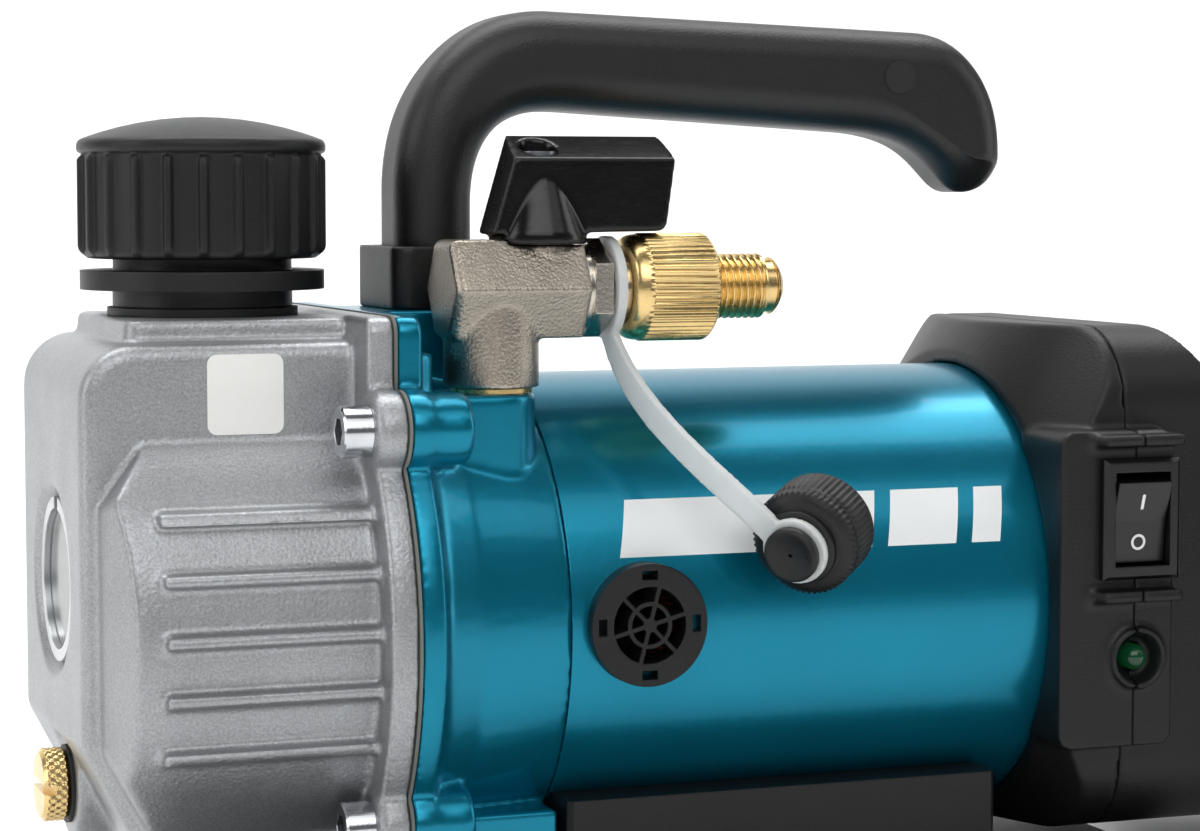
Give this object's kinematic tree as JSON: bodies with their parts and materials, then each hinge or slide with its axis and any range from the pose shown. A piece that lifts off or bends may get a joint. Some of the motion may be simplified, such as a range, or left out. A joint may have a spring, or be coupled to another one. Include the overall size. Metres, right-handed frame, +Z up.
{
  "type": "hvac vacuum pump",
  "caption": "Portable oil-sealed rotary vane vacuum pump for refrigeration service, with ball valve inlet, hook handle, rocker switch and slide-on battery.",
  "frame": {"origin": "on the floor, at the middle of the whole pump's length and width", "axes": "+X along the motor shaft from the oil tank to the battery, +Y away from the switch side, +Z up"},
  "size_m": [0.2716, 0.1178, 0.1616],
  "materials": {
    "cast_aluminium": "sand-cast, fine grain, satin",
    "machined_aluminium": "turned and milled",
    "teal_paint": "gloss teal enamel",
    "chrome_screw": "bright zinc or chrome plate",
    "steel": "ground steel",
    "spring_steel": "blued spring steel",
    "laminated_steel": "stacked electrical steel",
    "magnet": "coated magnet ring",
    "copper_winding": "enamelled copper wire",
    "nickel_cast": "nickel-plated brass, rough forged",
    "nickel_turned": "nickel-plated brass, turned",
    "brass": "turned brass",
    "black_moulding": "fine moulded texture",
    "black_glove_grip": "satin nylon",
    "black_gloss": "polished moulding",
    "rocker_black": "semi-gloss moulding",
    "seal_rubber": "nitrile rubber",
    "foot_rubber": "soft rubber",
    "clear_nylon": "natural translucent nylon",
    "sight_lens": "clear glass",
    "led_green": "green tinted lens",
    "filter_felt": "oil-mist filter felt",
    "white_plastic": "PTFE",
    "vane_graphite": "graphite composite",
    "gasket_paper": "compressed fibre",
    "circuit_board": "solder mask",
    "spider_elastomer": "polyurethane",
    "cell_wrap": "shrink sleeve"
  },
  "bodies": {
    "pump_frame": {"oil_tank": "cast_aluminium", "tank_gasket": "gasket_paper", "tank_screws": "chrome_screw", "sight_glass": "sight_lens", "sight_glass_ring": "machined_aluminium", "fill_neck": "black_moulding", "neck_seal": "seal_rubber", "front_casting": "teal_paint", "pump_plates": "machined_aluminium", "stage_rings": "steel", "discharge_valves": "spring_steel", "shaft_seal": "seal_rubber", "motor_can": "teal_paint", "vent_grilles": "black_moulding", "motor_plates": "machined_aluminium", "motor_bearings": "steel", "stator_core": "laminated_steel", "stator_windings": "copper_winding", "inner_screws": "steel", "rear_housing_front": "black_moulding", "rear_housing_back": "black_moulding", "case_screws": "spring_steel", "controller_board": "circuit_board", "terminal_block": "black_gloss", "switch_body": "rocker_black", "led_lens": "led_green", "handle": "black_glove_grip", "handle_collar": "black_moulding", "valve_body": "nickel_cast", "spigot_ring": "brass", "valve_seats": "white_plastic", "valve_end_plug": "nickel_turned", "base_pedestal": "black_moulding", "base_plate": "black_moulding", "rubber_feet": "foot_rubber"},
    "drive_shaft": {"pump_rotor": "steel", "vanes": "vane_graphite", "coupling_hubs": "machined_aluminium", "coupling_spider": "spider_elastomer", "motor_shaft": "steel", "magnet_rotor": "magnet", "cooling_fan": "black_moulding"},
    "filter_carrier": {"exhaust_filter": "filter_felt"},
    "oil_cap": {"oil_cap": "black_moulding"},
    "drain_seal": {"drain_seal": "seal_rubber"},
    "drain_plug": {"drain_plug": "brass"},
    "valve_handle": {"valve_lever": "black_gloss", "lever_screw": "spring_steel", "valve_stem": "nickel_turned", "valve_ball": "chrome_screw"},
    "adapter_seal": {"adapter_seal": "seal_rubber"},
    "adapter": {"adapter_nut": "brass", "flare_nipple": "brass"},
    "strap": {"cap_strap": "clear_nylon"},
    "port_cap": {"port_cap": "black_gloss"},
    "rocker": {"switch_rocker": "rocker_black"},
    "battery": {"battery_cover": "black_moulding", "battery_case": "black_moulding", "battery_cells": "cell_wrap"},
    "battery_button": {"battery_button": "black_glove_grip"}
  },
  "joints": [
    {"name": "shaft_spin", "type": "hinge", "parent": "pump_frame", "child": "drive_shaft", "pos_m": [-0.0552, 0, 0.058], "axis": [1, 0, 0], "continuous": true},
    {"name": "cap_lift", "type": "slide", "parent": "pump_frame", "child": "filter_carrier", "axis": [0, 0, 1], "range_m": [0, 0.009]},
    {"name": "cap_turn", "type": "hinge", "parent": "filter_carrier", "child": "oil_cap", "pos_m": [-0.107, 0, 0.119], "axis": [0, 0, 1], "range_deg": [0, 1080.1]},
    {"name": "drain_draw", "type": "slide", "parent": "pump_frame", "child": "drain_seal", "axis": [-1, 0, 0], "range_m": [0, 0.006]},
    {"name": "drain_turn", "type": "hinge", "parent": "drain_seal", "child": "drain_plug", "pos_m": [-0.1312, 0, 0.031], "axis": [-1, 0, 0], "range_deg": [0, 1440.1]},
    {"name": "valve_turn", "type": "hinge", "parent": "pump_frame", "child": "valve_handle", "pos_m": [-0.0557, -0.025, 0.1142], "axis": [0, 0, -1], "range_deg": [0, 90]},
    {"name": "adapter_draw", "type": "slide", "parent": "pump_frame", "child": "adapter_seal", "axis": [1, 0, 0], "range_m": [0, 0.00381]},
    {"name": "adapter_turn", "type": "hinge", "parent": "adapter_seal", "child": "adapter", "pos_m": [-0.0322, -0.025, 0.1142], "axis": [1, 0, 0], "range_deg": [0, 1080.1]},
    {"name": "strap_swing", "type": "hinge", "parent": "pump_frame", "child": "strap", "pos_m": [-0.0435, -0.025, 0.1142], "axis": [-1, 0, 0], "range_deg": [0, 50]},
    {"name": "port_cap_spin", "type": "hinge", "parent": "strap", "child": "port_cap", "pos_m": [-0.0124, -0.0458, 0.0752], "axis": [0.7128, 0.6425, 0.2811], "continuous": true},
    {"name": "rocker_tilt", "type": "hinge", "parent": "pump_frame", "child": "rocker", "pos_m": [0.0478, -0.0435, 0.0736], "axis": [-1, 0, 0], "range_deg": [0, 24]},
    {"name": "battery_slide", "type": "slide", "parent": "pump_frame", "child": "battery", "axis": [0, -1, 0], "range_m": [0, 0.12]},
    {"name": "battery_button_press", "type": "slide", "parent": "battery", "child": "battery_button", "axis": [1, 0, 0], "range_m": [0, 0.0025]}
  ],
  "couplings": [
    {"joint": "cap_turn", "follows": "cap_lift", "rad_per_m": 2094.4},
    {"joint": "drain_turn", "follows": "drain_draw", "rad_per_m": 4188.8},
    {"joint": "adapter_turn", "follows": "adapter_draw", "rad_per_m": 4947.4}
  ]
}
